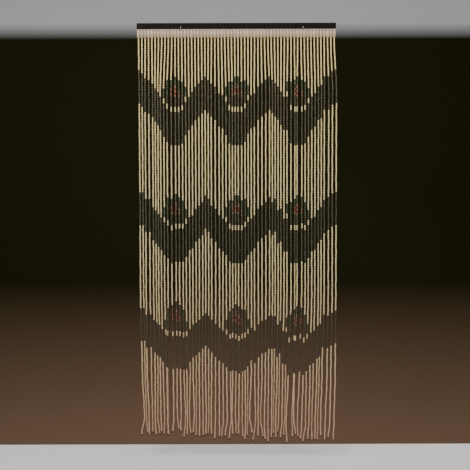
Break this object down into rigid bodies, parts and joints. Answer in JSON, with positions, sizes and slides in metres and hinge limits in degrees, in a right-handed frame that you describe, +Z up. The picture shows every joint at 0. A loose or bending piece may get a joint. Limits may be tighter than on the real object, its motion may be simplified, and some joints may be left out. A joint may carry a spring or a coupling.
{
  "type": "bead curtain with rail",
  "caption": "Doorway bead curtain: strings of small round wooden beads with a zigzag and rose pattern hang from a taped heading of wooden tubes under a slim dark rail on bent hooks.",
  "frame": {"origin": "centre of the flat back face of the rail, the face that goes against the wall or the door frame", "axes": "+Z up, +Y out of the rail's back face into the wall, so the viewer stands at -Y, +X to the viewer's right along the rail; the strands hang along -Z"},
  "size_m": [0.9576, 0.0364, 2.0315],
  "materials": {
    "rail_wood": "dark stained lath, thin satin varnish, fine lengthwise grain",
    "natural_bead": "pale straw wooden beads, clear satin varnish",
    "dark_bead": "dark brown stained wooden beads, satin",
    "leaf_bead": "dark leaf green stained wooden beads, satin",
    "rose_bead": "rust red stained wooden beads, satin",
    "pink_bead": "dusty pink stained wooden beads, satin",
    "end_bead": "dark red brown stained wooden beads, satin",
    "heading_tube": "pale greyish cream turned wood, matte",
    "heading_tape": "cream woven cotton tape",
    "bead_cord": "natural twisted cotton cord",
    "hook_steel": "zinc plated steel wire, dulled"
  },
  "bodies": {
    "root": {"rail": "rail_wood", "strand_curtain": "natural_bead", "hook_left": "hook_steel", "hook_right": "hook_steel"}
  },
  "joints": []
}
